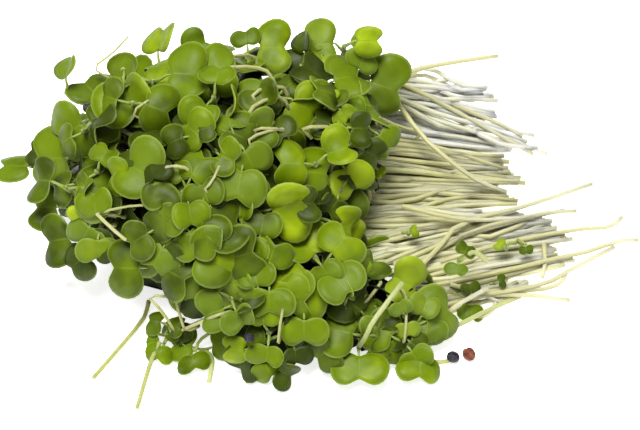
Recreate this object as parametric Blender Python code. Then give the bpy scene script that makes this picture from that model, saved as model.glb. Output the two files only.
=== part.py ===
"""Broccoli cress: a cut bunch of seedlings lying on a table, leaves to the left and cut stems to the right.

The bunch is made of handfuls. Each leafy handful is one solid: a low core of packed stem tops, and the seed
leaves that stand out of it in pairs. Each pale sheaf is one solid: stems that fan out of a slim core, whose
root end sits in a pocket in the leafy cores. Seedlings that lie apart have a leaf pair and a stem of their own.
Leaves and stems of different solids are kept clear of each other.

Frame: metres, +Z up, +X from the leaves towards the cut ends, origin on the table under the leafy heap.
"""

import math
import random

import bmesh
import bpy
from mathutils import Matrix, Vector
from mathutils.bvhtree import BVHTree

MM = 0.001
SEED = 13

# The viewpoint that the places in the lists below are read from: pixels across and down
PICTURE_CENTRE = (320, 215)
PIXELS_PER_METRE = 4400
VIEW_DISTANCE = 0.535
VIEW_ELEVATION = math.radians(47)
AIM = Vector((0, 0, 16 * MM))

# Seed leaves
BLADE_THICKNESS = 0.65 * MM
BLADE_LENGTH_SHARE = 0.66
PETIOLE_SHARE = 0.34
RULE_BLADE_WIDTH = 16.5 * MM
SIBLING_SCALE = 0.84
# Half of a blade's outline from leaf stalk to lobe: share of the half width, share of the length
BLADE_SIDE = ((0.14, 0.02), (0.80, 0.17), (1.0, 0.62), (0.52, 1.0))
BLADE_NOTCH = 0.78
BLADE_CUP = 0.16
BLADE_DROOP = 0.10
PETIOLE_SLOPE = 0.6
LOWEST_LEAF = 0.4 * MM

# Stems
STALK_RADIUS = 0.7 * MM
STALK_SUNK = 3 * MM
HEART_SPREAD = 4 * MM
FITTING_TRIES = 18
SINK_STEPS = (0, -0.04, 0.03, -0.08, 0.06, -0.12)
STEM_RADIUS = 0.66 * MM

# Leafy mass: lobes as centre and radii, in millimetres, of half ellipsoids that stand on the table
LOBES = {
    "crown": ((-26, 12, 0), (41.5, 38, 43)),
    "back_right": ((5, 19, 0), (16.5, 24, 36)),
    "front": ((-10, -15.5, 0), (26, 20.5, 22.5)),
    "front_right": ((15, -20, 0), (18, 12, 12)),
}
CORE_SHARES = {"crown": 0.66, "back_right": 0.56, "front": 0.64, "front_right": 0.5}
CORE_GAP = 0.6 * MM
RULE_SPACING = 9.8 * MM
RULE_TRIES = 500

# The handfuls of leaves: where each is gathered, in millimetres
TUFTS = {
    "leaf_tuft_left_front": (-48, -1, 10),
    "leaf_tuft_left_back": (-47, 27, 10),
    "leaf_tuft_back": (-19, 38, 12),
    "leaf_tuft_crown": (-26, 12, 33),
    "leaf_tuft_middle_front": (-28, -12, 12),
    "leaf_tuft_right_back": (5, 25, 16),
    "leaf_tuft_right_middle": (2, 0, 14),
    "leaf_tuft_front": (-8, -25, 8),
    "leaf_tuft_front_right": (16, -22, 4),
}

# Leaves that stand out in view: pixels across and down to the blade's middle, the way from leaf stalk to notch in
# degrees, and the blade's width in pixels
LEAVES_IN_VIEW = (
    (67, 68, 160, 40), (20, 167, 180, 45), (91, 84, 170, 42), (66, 119, 180, 48), (81, 148, 200, 38),
    (55, 158, 170, 52), (88, 176, 100, 42), (95, 198, 0, 42), (47, 203, -150, 46), (81, 214, -90, 36),
    (62, 240, -170, 44), (126, 92, -70, 62), (162, 86, 180, 54), (158, 44, 90, 42), (182, 58, 135, 38),
    (184, 89, -110, 38), (196, 42, 90, 36), (155, 114, 20, 46), (196, 131, 140, 44), (140, 160, -60, 48),
    (119, 171, 180, 42), (162, 188, -40, 36), (197, 171, 60, 48), (220, 70, 10, 48), (272, 44, 0, 50),
    (246, 38, 100, 36), (319, 30, 90, 38), (363, 40, 0, 38), (345, 77, 200, 56), (383, 86, -15, 60),
    (288, 64, -30, 40), (306, 108, -30, 50), (232, 98, 60, 46), (235, 133, -20, 46), (250, 160, -60, 44),
    (238, 186, -90, 56), (292, 166, 180, 46), (319, 172, 0, 54), (348, 180, -30, 46), (334, 137, -100, 38),
    (287, 207, 20, 62), (166, 227, -60, 42), (150, 248, -110, 36), (98, 246, 90, 36), (127, 269, 180, 50),
    (226, 218, -70, 46), (180, 278, 25, 62), (232, 285, 180, 60), (207, 252, -90, 50), (254, 272, 90, 40),
    (298, 289, -135, 62), (309, 246, 150, 52), (342, 228, -20, 42), (269, 308, -90, 46), (358, 245, -100, 44),
    (239, 349, 200, 40), (267, 356, -90, 42), (280, 378, -50, 42), (405, 282, -25, 52), (343, 333, 160, 44),
    (383, 335, 150, 44), (393, 364, -80, 46), (443, 325, -90, 38), (302, 329, -90, 44), (325, 352, 220, 42),
    (371, 268, 60, 36), (194, 222, -60, 46), (160, 256, -120, 40), (428, 303, -60, 40), (411, 322, -110, 40),
    (432, 345, -70, 42), (362, 352, -60, 42), (398, 311, 170, 40),
)

# Sheaves of cut stems: pixels across and down and height in millimetres of the middle of the root end and of the
# cut ends, how far the ends spread in pixels and millimetres, and the number of stems
SHEAVES = {
    "stem_sheaf_back": dict(root=(384, 112, 17), ends=(497, 118, 6), spread=(32, 38, 4), stems=24),
    "stem_sheaf_middle": dict(root=(378, 196, 14), ends=(494, 188, 6), spread=(20, 34, 4.5), stems=24),
    "stem_sheaf_front": dict(root=(412, 268, 8), ends=(584, 244, 4), spread=(52, 52, 3), stems=28),
}
SHEAF_CORE_LENGTH = 14 * MM
SHEAF_CORE_WIDTH = 15 * MM
SHEAF_CORE_DEPTH = 3.2 * MM
SHEAF_FITTING_TRIES = 30
STEM_ROOT_SHARE = 0.42
STEM_ROOT_SPREAD = 0.46
STEM_LIFT = 1.2 * MM
STEM_BEND = 1.8 * MM
SHEAF_STEM_RADIUS = 0.8 * MM
POCKET_GAP = 0.6 * MM

# Stems that lie apart: points as pixels across and down and height in millimetres, from leaf end to cut end
LONE_STEMS = {
    "lone_stem_left_long": ((149, 300, 3.4), (146, 312, 1.8), (138, 326, 1.0), (93, 378, 1.0)),
    "lone_stem_left_short": ((157, 343, 2.7), (148, 368, 1.0), (137, 408, 1.0)),
    "lone_stem_back": ((424, 66, 19), (455, 62, 18.5), (498, 56, 17)),
}

# Seedlings that lie apart: the leaf, as in the list above with its height in millimetres, and the stem's points
LONE_SEEDLINGS = {
    "seedling_left_front": ((184, 345, 2.5), 170, 40, ((212, 360, 1.4), (209, 382, 1.0))),
    "seedling_front": ((359, 375, 3.5), -90, 50, ((366, 338, 9), (374, 324, 13), (386, 302, 16))),
    "seedling_front_right": (
        (420, 381, 2.7), -90, 44, ((428, 346, 3.6), (442, 334, 4.2), (486, 311, 1.8), (520, 296, 1.0))
    ),
    "seedling_on_stems": ((457, 268, 14.5), -104, 34, ((474, 252, 15), (488, 262, 13))),
}

# Seed hulls: pixels across and down, height, length and width in millimetres
SEED_HULLS = {
    "seed_hull_black": ((453, 357, 1.5), 3.0, 2.6),
    "seed_hull_brown": ((469, 354, 1.5), 3.3, 2.8),
}


def to_metres(point):
    return Vector(point) * MM


def picture_axes():
    """Right, up and towards the viewer."""
    sine, cosine = math.sin(VIEW_ELEVATION), math.cos(VIEW_ELEVATION)
    return Vector((1, 0, 0)), Vector((0, sine, cosine)), Vector((0, -cosine, sine))


RIGHT, UP, VIEWER = picture_axes()
EYE = AIM + VIEWER * VIEW_DISTANCE


def sight_line(across, down):
    """The unit direction from the eye through a pixel."""
    focal = PIXELS_PER_METRE * VIEW_DISTANCE
    sideways = RIGHT * (across - PICTURE_CENTRE[0])
    upwards = UP * (PICTURE_CENTRE[1] - down)
    return (sideways + upwards - VIEWER * focal).normalized()


def point_at_height(place):
    """The point of a pixel's sight line at a height in millimetres."""
    across, down, height = place
    line = sight_line(across, down)
    return EYE + line * ((height * MM - EYE.z) / line.z)


def lobe_distance(point, lobe):
    """1 on the lobe's surface, less inside it."""
    centre, radii = lobe
    return math.sqrt(sum(((point[i] / MM - centre[i]) / radii[i]) ** 2 for i in range(3)))


def lobe_normal(point, lobe):
    centre, radii = lobe
    return Vector([(point[i] / MM - centre[i]) / radii[i] ** 2 for i in range(3)]).normalized()


def point_on_heap(across, down):
    """Where a sight line first meets the leafy mass, or passes closest to it, and the surface's normal there."""
    line = sight_line(across, down)
    best = None
    for lobe in LOBES.values():
        centre, radii = lobe
        start = Vector([(EYE[i] / MM - centre[i]) / radii[i] for i in range(3)])
        step = Vector([line[i] / MM / radii[i] for i in range(3)])
        middle = -start.dot(step) / step.dot(step)
        miss = (start + step * middle).length
        reach = math.sqrt(max(0.0, 1 - miss * miss)) / step.length
        point = EYE + line * (middle - reach)
        rank = (max(0.0, miss - 1), middle - reach)
        if point.z > 0 and (best is None or rank < best[0]):
            best = (rank, point, lobe_normal(point, lobe))
    return best[1], best[2]


def new_object(name, mesh, collection):
    made = bpy.data.objects.new(name, mesh)
    collection.objects.link(made)
    return made


def new_collection(name):
    made = bpy.data.collections.new(name)
    bpy.context.scene.collection.children.link(made)
    return made


def mesh_from(bm, name):
    mesh = bpy.data.meshes.new(name)
    bm.to_mesh(mesh)
    bm.free()
    return mesh


def evaluated_mesh(obj):
    """The mesh that an object's modifiers, or its curve, give."""
    bpy.context.view_layer.update()
    return bpy.data.meshes.new_from_object(obj.evaluated_get(bpy.context.evaluated_depsgraph_get()))


def surface_tree(mesh):
    bm = bmesh.new()
    bm.from_mesh(mesh)
    tree = BVHTree.FromBMesh(bm)
    bm.free()
    return tree


def principled(name, colour, roughness):
    material = bpy.data.materials.new(name)
    material.use_nodes = True
    shader = material.node_tree.nodes["Principled BSDF"]
    shader.inputs["Base Color"].default_value = (*colour, 1)
    shader.inputs["Roughness"].default_value = roughness
    shader.inputs["Metallic"].default_value = 0
    return material


def blade_mesh(frame, width):
    """One heart-shaped seed leaf with its leaf stalk. frame: x across, y from stalk to notch, z out of the face."""
    half, length = width / 2, width * BLADE_LENGTH_SHARE
    side = [(x * half, y * length) for x, y in BLADE_SIDE]
    outline = [*side, (0, BLADE_NOTCH * length), *[(-x, y) for x, y in reversed(side)]]
    bm = bmesh.new()
    bmesh.ops.create_circle(bm, segments=len(outline), radius=1, cap_ends=True, cap_tris=True)
    middle = min(bm.verts, key=lambda vertex: vertex.co.length)
    rim = sorted((v for v in bm.verts if v is not middle), key=lambda v: math.atan2(v.co.y, v.co.x))
    for vertex, (x, y) in zip(rim, outline):
        vertex.co = (x, y, BLADE_CUP * half * (x / half) ** 2 - BLADE_DROOP * length * (y / length) ** 2)
    middle.co = (0, 0.45 * length, -0.08 * half)
    neck = bm.edges.get((rim[0], rim[-1]))
    petiole = bmesh.ops.extrude_edge_only(bm, edges=[neck])
    for vertex in petiole["geom"]:
        if isinstance(vertex, bmesh.types.BMVert):
            vertex.co = (vertex.co.x * 0.8, -PETIOLE_SHARE * width, -PETIOLE_SHARE * width * PETIOLE_SLOPE)
    bmesh.ops.triangulate(bm, faces=bm.faces)
    bmesh.ops.recalc_face_normals(bm, faces=bm.faces)
    bmesh.ops.solidify(bm, geom=bm.faces[:], thickness=BLADE_THICKNESS)
    bmesh.ops.recalc_face_normals(bm, faces=bm.faces)
    bm.transform(frame)
    lowest = min(vertex.co.z for vertex in bm.verts)
    if lowest < LOWEST_LEAF:
        bmesh.ops.translate(bm, verts=bm.verts, vec=(0, 0, LOWEST_LEAF - lowest))
    return mesh_from(bm, "blade")


def tube_mesh(points, radius, sides=4):
    """A stem: a curve with a round bevel and filled caps, taken as a mesh. radius may be one value or one a point."""
    curve = bpy.data.curves.new("stem", "CURVE")
    curve.dimensions = "3D"
    curve.bevel_depth = 1
    curve.bevel_resolution = (sides - 4) // 2
    curve.use_fill_caps = True
    spline = curve.splines.new("POLY")
    spline.points.add(len(points) - 1)
    for i, point in enumerate(points):
        spline.points[i].co = (*point, 1)
        spline.points[i].radius = radius[i] if isinstance(radius, (list, tuple)) else radius
    guide = new_object("stem guide", curve, bpy.context.scene.collection)
    mesh = evaluated_mesh(guide)
    bpy.data.objects.remove(guide)
    bpy.data.curves.remove(curve)
    bm = bmesh.new()
    bm.from_mesh(mesh)
    bmesh.ops.remove_doubles(bm, verts=bm.verts, dist=0.01 * MM)
    bmesh.ops.recalc_face_normals(bm, faces=bm.faces)
    bm.to_mesh(mesh)
    bm.free()
    return mesh


def picture_way(turn):
    """The direction in the picture plane at an angle in degrees from rightwards."""
    return RIGHT * math.cos(math.radians(turn)) + UP * math.sin(math.radians(turn))


def petiole_end(width):
    """Where a blade's leaf stalk ends, in the blade's frame: a little short of the tip, which sinks into the stem."""
    reach = -PETIOLE_SHARE * width * 0.92
    return Vector((0, reach, PETIOLE_SLOPE * reach))


def blade_frame(middle, normal, turn_way, width):
    """The frame of a blade whose middle is given, that faces normal and points along turn_way in the picture."""
    facing = max(0.25, normal.dot(VIEWER))
    along = (turn_way - VIEWER * (normal.dot(turn_way) / facing)).normalized()
    along = (along - normal * along.dot(normal)).normalized()
    across = along.cross(normal).normalized()
    root = middle - along * (width * BLADE_LENGTH_SHARE * 0.5)
    return Matrix.Translation(root) @ Matrix((across, along, normal)).transposed().to_4x4()


def half_turned(frame, axis, pivot, scale, twist):
    """The frame of the pair's other blade: turned half way round the stem's axis, and a little smaller."""
    turn = Matrix.Translation(pivot) @ Matrix.Rotation(math.pi + twist, 4, axis) @ Matrix.Translation(-pivot)
    turned = turn @ frame
    shift = (turned.translation - pivot) * (scale - 1)
    return Matrix.Translation(shift) @ turned


def is_inside(point, tree):
    """Whether a ray from the point leaves the closed surface an odd number of times."""
    way = Vector((0.31, 0.17, 0.93)).normalized()
    crossings = 0
    hit = tree.ray_cast(point, way)[0]
    while hit is not None:
        crossings += 1
        hit = tree.ray_cast(hit + way * 0.001 * MM, way)[0]
    return crossings % 2 == 1


class Bunch:
    """Keeps every mesh that a solid is joined from, and tells whether a new one crosses another solid."""

    def __init__(self):
        self.meshes = {}
        self.trees = {}

    def is_clear(self, name, meshes, own_too=False):
        """Whether the meshes cross no other solid, and with own_too none of their own solid but its core."""
        others = [tree for other, trees in self.trees.items() if other != name for tree in trees]
        if own_too:
            others += self.trees[name][1:]
        cores = [trees[0] for other, trees in self.trees.items() if other != name]
        for mesh in meshes:
            tree = surface_tree(mesh)
            if any(tree.overlap(other) for other in others):
                return False
            if any(is_inside(vertex.co, core) for core in cores for vertex in list(mesh.vertices)[::6]):
                return False
        return True

    def is_joined(self, name, stem, blades=()):
        """Whether the stem reaches into its solid's core, and the blades into the stem."""
        tree = surface_tree(stem)
        parts = [self.trees[name][0], *[surface_tree(blade) for blade in blades]]
        return all(tree.overlap(part) for part in parts)

    def add(self, name, meshes):
        self.meshes.setdefault(name, []).extend(meshes)
        self.trees.setdefault(name, []).extend(surface_tree(mesh) for mesh in meshes)

    def foot_in_core(self, name, top, aside):
        """Where a stalk from top ends: a little way under the skin of its handful's core, on the way to its heart."""
        core = self.meshes[name][0]
        heart = aside + sum((vertex.co for vertex in core.vertices), Vector()) / len(core.vertices)
        way = (heart - top).normalized()
        skin, _, _, distance = self.trees[name][0].ray_cast(top, way)
        if skin is None:
            return heart
        return skin + way * min(STALK_SUNK, (heart - skin).length)


def head_meshes(place, normal, turn_way, width, foot_of, twist, with_sibling=True):
    """A seedling's head: its broad blade, the smaller one across from it, and the stalk that they stand on."""
    frame = blade_frame(place, normal, turn_way, width)
    joint = frame @ petiole_end(width)
    foot = foot_of(joint)
    axis = (normal * 0.7 + (joint - foot).normalized() * 0.3).normalized()
    lowest = STALK_RADIUS + LOWEST_LEAF
    points = [joint + axis * STALK_RADIUS, foot]
    points = [Vector((point.x, point.y, max(point.z, lowest))) for point in points]
    meshes = [tube_mesh(points, STALK_RADIUS), blade_mesh(frame, width)]
    if with_sibling:
        other = half_turned(frame, axis, joint, SIBLING_SCALE, twist)
        meshes.append(blade_mesh(other, width * SIBLING_SCALE))
    return meshes


def tuft_of(point):
    return min(TUFTS, key=lambda name: (to_metres(TUFTS[name]) - point).length)


def add_head(bunch, place, normal, turn_way, width, chance):
    """Adds a seedling's head to the handful that it grows from, bent until it is clear of the others."""
    name = tuft_of(place)
    gathered = to_metres(TUFTS[name])
    for attempt in range(FITTING_TRIES):
        moved = gathered + (place - gathered) * (1 + SINK_STEPS[attempt % len(SINK_STEPS)])
        tilt = Matrix.Rotation(chance.uniform(-0.1, 0.1) * attempt, 3, turn_way)
        aside = Vector([chance.uniform(-1, 1) * HEART_SPREAD for _ in range(3)])
        with_sibling = attempt < FITTING_TRIES - 6
        meshes = head_meshes(
            moved, tilt @ normal, turn_way, width * (1 - 0.012 * attempt),
            lambda top: bunch.foot_in_core(name, top, aside), chance.uniform(-0.5, 0.5), with_sibling
        )
        may_cross_own = attempt >= FITTING_TRIES - 2
        is_joined = bunch.is_joined(name, meshes[0], meshes[1:])
        if is_joined and bunch.is_clear(name, meshes[1:], not may_cross_own) and bunch.is_clear(name, meshes[:1]):
            bunch.add(name, meshes)
            return True
    return False


def add_leaves_in_view(bunch):
    chance = random.Random(SEED)
    for across, down, turn, width in LEAVES_IN_VIEW:
        place, outwards = point_on_heap(across, down)
        normal = (outwards * 0.55 + VIEWER * 0.75 + Vector((0, 0, 0.15))).normalized()
        add_head(bunch, place, normal, picture_way(turn), width / PIXELS_PER_METRE, chance)


def rule_places(chance, taken):
    """Places over the rest of the leafy mass, a spacing apart, on the sides that the list doesn't reach."""
    for lobe in LOBES.values():
        centre, radii = lobe
        for _ in range(RULE_TRIES):
            height = chance.uniform(0.12, 0.98)
            angle = chance.uniform(0, 2 * math.pi)
            flat = math.sqrt(1 - height * height)
            unit = (flat * math.cos(angle), flat * math.sin(angle), height)
            point = Vector([(centre[i] + radii[i] * unit[i]) * MM for i in range(3)])
            inside = any(lobe_distance(point, other) < 0.98 for other in LOBES.values() if other != lobe)
            if inside or any((point - other).length < RULE_SPACING for other in taken):
                continue
            taken.append(point)
            yield point, lobe_normal(point, lobe)


def add_leaves_by_rule(bunch):
    chance = random.Random(SEED + 1)
    taken = [point_on_heap(across, down)[0] for across, down, _, _ in LEAVES_IN_VIEW]
    for place, outwards in rule_places(chance, taken):
        angle = chance.uniform(0, 2 * math.pi)
        lift = Vector((0, 0, chance.uniform(0.1, 0.5)))
        normal = (outwards + lift).normalized()
        side = normal.orthogonal().normalized()
        way = side * math.cos(angle) + normal.cross(side) * math.sin(angle)
        width = RULE_BLADE_WIDTH * chance.uniform(0.85, 1.1)
        add_head(bunch, place, normal, way, width, chance)


def heap_core():
    """The packed stem tops under the leaves: the lobes drawn in, joined, and cut flat where they lie."""
    helpers = new_collection("core lobes")
    lumps = []
    for name, (centre, radii) in LOBES.items():
        bm = bmesh.new()
        bmesh.ops.create_icosphere(bm, subdivisions=2, radius=1)
        bmesh.ops.scale(bm, verts=bm.verts, vec=[radius * CORE_SHARES[name] * MM for radius in radii])
        bmesh.ops.translate(bm, verts=bm.verts, vec=to_metres(centre))
        lumps.append(new_object(name, mesh_from(bm, name), helpers))
    mesh = joined(lumps[0], lumps[1:], helpers)
    bm = bmesh.new()
    bm.from_mesh(mesh)
    cut_flat(bm, Vector((0, 0, 0)), Vector((0, 0, -1)))
    return mesh_from(bm, "heap core")


def cut_flat(bm, point, outwards):
    """Cuts away what lies beyond a plane, and closes the cut."""
    everything = bm.verts[:] + bm.edges[:] + bm.faces[:]
    cut = bmesh.ops.bisect_plane(
        bm, geom=everything, plane_co=point, plane_no=outwards, clear_outer=True, dist=0.001 * MM
    )
    edges = [part for part in cut["geom_cut"] if isinstance(part, bmesh.types.BMEdge)]
    bmesh.ops.edgeloop_fill(bm, edges=edges)


def tuft_core(name, core):
    """One handful's share of the core: all that is nearer to its middle than to another's, less a narrow gap."""
    bm = bmesh.new()
    bm.from_mesh(core)
    here = to_metres(TUFTS[name])
    for other, place in TUFTS.items():
        if other != name:
            there = to_metres(place)
            outwards = (there - here).normalized()
            cut_flat(bm, (here + there) / 2 - outwards * CORE_GAP / 2, outwards)
    bmesh.ops.dissolve_limit(bm, angle_limit=0.01, verts=bm.verts, edges=bm.edges)
    bmesh.ops.triangulate(bm, faces=bm.faces)
    bmesh.ops.recalc_face_normals(bm, faces=bm.faces)
    return mesh_from(bm, name)


def joined(first, others, collection):
    """One mesh from overlapping ones, by a Boolean union. The objects that it is joined from are removed."""
    operands = new_collection("operands")
    for other in others:
        collection.objects.unlink(other)
        operands.objects.link(other)
    if others:
        union = first.modifiers.new("join", "BOOLEAN")
        union.operation = "UNION"
        union.operand_type = "COLLECTION"
        union.collection = operands
        union.solver = "EXACT"
    mesh = evaluated_mesh(first)
    if others and not is_closed(mesh):
        union.solver = "MANIFOLD"
        mesh = evaluated_mesh(first)
    for used in [first, *others]:
        bpy.data.objects.remove(used)
    bpy.data.collections.remove(operands)
    return without_scraps(mesh)


def is_closed(mesh):
    bm = bmesh.new()
    bm.from_mesh(mesh)
    closed = bool(bm.faces) and all(len(edge.link_faces) == 2 for edge in bm.edges)
    bm.free()
    return closed


def without_scraps(mesh):
    """The mesh's largest connected body. A loose scrap or a sealed hollow that a union leaves is dropped."""
    bm = bmesh.new()
    bm.from_mesh(mesh)
    bodies = []
    waiting = set(bm.verts)
    while waiting:
        edge_of_search = [waiting.pop()]
        body = set(edge_of_search)
        while edge_of_search:
            vertex = edge_of_search.pop()
            for edge in vertex.link_edges:
                neighbour = edge.other_vert(vertex)
                if neighbour in waiting:
                    waiting.remove(neighbour)
                    body.add(neighbour)
                    edge_of_search.append(neighbour)
        bodies.append(body)
    bodies.sort(key=len)
    for body in bodies[:-1]:
        bmesh.ops.delete(bm, geom=list(body), context="VERTS")
    bmesh.ops.recalc_face_normals(bm, faces=bm.faces)
    bm.to_mesh(mesh)
    bm.free()
    return mesh


def with_pocket(mesh, cutters, collection):
    """The mesh with a pocket cut by each cutter."""
    body = new_object("core", mesh, collection)
    tools = []
    for i, cutter in enumerate(cutters):
        tool = new_object(f"pocket {i}", cutter, collection)
        tool.hide_render = True
        tool.display_type = "WIRE"
        cut = body.modifiers.new("pocket", "BOOLEAN")
        cut.operation = "DIFFERENCE"
        cut.object = tool
        cut.solver = "EXACT"
        tools.append(tool)
    made = evaluated_mesh(body)
    for used in [body, *tools]:
        bpy.data.objects.remove(used)
    return made


def sheaf_core(sheaf, grow=0.0):
    """The slim core of a sheaf, where its stems lie packed. grow makes it that much fatter, for its pocket."""
    root, ends = point_at_height(sheaf["root"]), point_at_height(sheaf["ends"])
    along = (ends - root).normalized()
    across = Vector((0, 0, 1)).cross(along).normalized()
    bm = bmesh.new()
    bmesh.ops.create_icosphere(bm, subdivisions=1, radius=1)
    sizes = (SHEAF_CORE_LENGTH, SHEAF_CORE_WIDTH, SHEAF_CORE_DEPTH)
    bmesh.ops.scale(bm, verts=bm.verts, vec=[size / 2 + grow for size in sizes])
    bm.transform(Matrix.Translation(root) @ Matrix((along, across, along.cross(across))).transposed().to_4x4())
    return mesh_from(bm, "sheaf core")


def add_sheaf(bunch, name, sheaf, chance):
    """Stems that fan out of the sheaf's core to their cut ends, each bent until it is clear of other solids."""
    bunch.add(name, [sheaf_core(sheaf)])
    root = point_at_height(sheaf["root"])
    across, down, height = sheaf["ends"]
    wide, tall, thick = sheaf["spread"]
    count = sheaf["stems"]
    for i in range(count):
        share = 2 * (i + 0.5) / count - 1
        for _ in range(SHEAF_FITTING_TRIES):
            end = point_at_height((
                across + wide * chance.uniform(-1, 1),
                down + tall * (share + chance.uniform(-0.08, 0.08)),
                max(1.0, height + thick * chance.uniform(-1, 1)),
            ))
            start = root - (end - root).normalized() * chance.uniform(0.2, 1) * STEM_ROOT_SHARE * SHEAF_CORE_LENGTH
            start -= UP * share * STEM_ROOT_SPREAD * SHEAF_CORE_WIDTH
            start += Vector((0, 0, chance.uniform(-0.4, 1) * STEM_LIFT))
            bend = Vector((0, 0, chance.uniform(0.2, 1) * STEM_BEND)) + UP * chance.uniform(-0.6, 0.6) * STEM_BEND
            points = [start, start.lerp(end, 0.4) + bend, start.lerp(end, 0.75) + bend * 0.6, end]
            stem = tube_mesh(points, SHEAF_STEM_RADIUS * chance.uniform(0.9, 1.1))
            if bunch.is_joined(name, stem) and bunch.is_clear(name, [stem]):
                bunch.add(name, [stem])
                break


def add_lone_pieces(bunch):
    for name, places in LONE_STEMS.items():
        points = [point_at_height(place) for place in places]
        bunch.add(name, [tube_mesh(points, STEM_RADIUS * 1.05, sides=6)])
    for name, (place, turn, pixels_wide, stem_places) in LONE_SEEDLINGS.items():
        width = pixels_wide / PIXELS_PER_METRE
        normal = (VIEWER * 0.5 + Vector((0, 0, 1))).normalized()
        frame = blade_frame(point_at_height(place), normal, picture_way(turn), width)
        joint = frame @ petiole_end(width)
        joint.z = max(joint.z, STEM_RADIUS + LOWEST_LEAF)
        stem_points = [point_at_height(stem_place) for stem_place in stem_places]
        along = (stem_points[0] - joint).normalized()
        knuckle = tube_mesh([joint - along * 0.6 * MM, joint + along * 1.2 * MM], STALK_RADIUS * 1.1, sides=6)
        bunch.add(name + "_leaves", [knuckle, blade_mesh(frame, width)])
        other = half_turned(frame, -along, joint, SIBLING_SCALE, 0.9)
        sibling = blade_mesh(other, width * SIBLING_SCALE)
        if bunch.is_clear(name + "_leaves", [sibling]):
            bunch.add(name + "_leaves", [sibling])
        stem_top = joint + along * (STALK_RADIUS + 1.6 * MM)
        bunch.add(name + "_stem", [tube_mesh([stem_top, *stem_points], STEM_RADIUS, sides=6)])


def add_seed_hulls(bunch):
    """Husks that cling to the seedlings: each a split, slightly flattened ball."""
    for name, (place, length, width) in SEED_HULLS.items():
        bm = bmesh.new()
        bmesh.ops.create_icosphere(bm, subdivisions=2, radius=0.5)
        for vertex in bm.verts:
            groove = 1 - 0.22 * math.exp(-(vertex.co.x / 0.12) ** 2) * max(0.0, vertex.co.z + 0.3)
            vertex.co *= groove
        bmesh.ops.scale(bm, verts=bm.verts, vec=(length * MM, width * MM, width * MM))
        bmesh.ops.translate(bm, verts=bm.verts, vec=point_at_height(place))
        bunch.add(name, [mesh_from(bm, name)])


def build_solids(bunch, collection):
    green = principled("leaf green", (0.26, 0.42, 0.05), 0.45)
    pale = principled("stem pale green", (0.74, 0.75, 0.56), 0.5)
    black = principled("hull black", (0.03, 0.025, 0.04), 0.5)
    brown = principled("hull brown", (0.19, 0.06, 0.03), 0.45)
    helpers = new_collection("to join")
    for name, meshes in bunch.meshes.items():
        pieces = [new_object(f"{name} piece {i}", mesh, helpers) for i, mesh in enumerate(meshes)]
        solid = joined(pieces[0], pieces[1:], helpers)
        solid.materials.clear()
        if name.startswith("seed_hull"):
            solid.materials.append(brown if name.endswith("brown") else black)
        else:
            is_stem = name.startswith(("stem_sheaf", "lone_stem")) or name.endswith("_stem")
            solid.materials.append(pale if is_stem else green)
        new_object(name, solid, collection)
    bpy.data.collections.remove(helpers)


def main():
    for old in list(bpy.data.objects):
        bpy.data.objects.remove(old)
    collection = new_collection("Broccoli cress")
    helpers = new_collection("core work")
    bunch = Bunch()
    core = heap_core()
    pockets = [sheaf_core(sheaf, POCKET_GAP) for sheaf in SHEAVES.values()]
    for name in TUFTS:
        share = with_pocket(tuft_core(name, core), [pocket.copy() for pocket in pockets], helpers)
        bunch.add(name, [share])
    for i, (name, sheaf) in enumerate(SHEAVES.items()):
        add_sheaf(bunch, name, sheaf, random.Random(SEED + 10 + i))
    add_lone_pieces(bunch)
    add_seed_hulls(bunch)
    add_leaves_in_view(bunch)
    add_leaves_by_rule(bunch)
    build_solids(bunch, collection)


main()
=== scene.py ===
# Broccoli cress: a cut bunch of seedlings on a white table, leaves to the left and cut stems to the right
import math
import random

import bpy
import numpy as np
from mathutils import Matrix, Vector


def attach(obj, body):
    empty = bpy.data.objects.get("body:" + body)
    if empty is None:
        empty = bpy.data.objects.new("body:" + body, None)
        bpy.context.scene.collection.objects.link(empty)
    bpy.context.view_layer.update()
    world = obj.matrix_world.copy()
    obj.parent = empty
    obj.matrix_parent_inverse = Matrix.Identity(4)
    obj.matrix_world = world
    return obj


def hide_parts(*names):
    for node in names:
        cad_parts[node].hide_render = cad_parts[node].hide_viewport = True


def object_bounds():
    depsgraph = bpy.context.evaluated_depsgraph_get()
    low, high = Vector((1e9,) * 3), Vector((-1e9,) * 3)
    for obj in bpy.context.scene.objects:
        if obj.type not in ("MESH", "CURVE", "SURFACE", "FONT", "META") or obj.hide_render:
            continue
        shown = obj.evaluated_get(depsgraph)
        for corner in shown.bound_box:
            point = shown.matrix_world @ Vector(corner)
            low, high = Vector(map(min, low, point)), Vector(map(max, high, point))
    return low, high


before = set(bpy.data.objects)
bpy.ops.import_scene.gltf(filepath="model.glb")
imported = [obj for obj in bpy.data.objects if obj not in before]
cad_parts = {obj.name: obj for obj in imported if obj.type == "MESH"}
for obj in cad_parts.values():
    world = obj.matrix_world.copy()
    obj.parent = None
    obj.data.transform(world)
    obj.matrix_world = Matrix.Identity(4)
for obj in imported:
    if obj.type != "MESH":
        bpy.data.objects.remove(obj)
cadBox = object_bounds()
mm = 0.001
lying = {"leafGap": 0.0003, "stemGap": 0.0002}  # how far the lowest leaves and stems stay off the table

# Where the picture is taken from; places below are pixels across and down in it
view = {
    "width": 640,
    "centre": (320, 215),
    "pixelsPerMetre": 4400,
    "distance": 0.535,
    "elevation": math.radians(47),
    "aim": Vector((0, 0, 0.016)),
}
toRight = Vector((1, 0, 0))
toTop = Vector((0, math.sin(view["elevation"]), math.cos(view["elevation"])))
toEye = Vector((0, -math.cos(view["elevation"]), math.sin(view["elevation"])))
eye = view["aim"] + toEye * view["distance"]
focalPixels = view["pixelsPerMetre"] * view["distance"]

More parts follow.
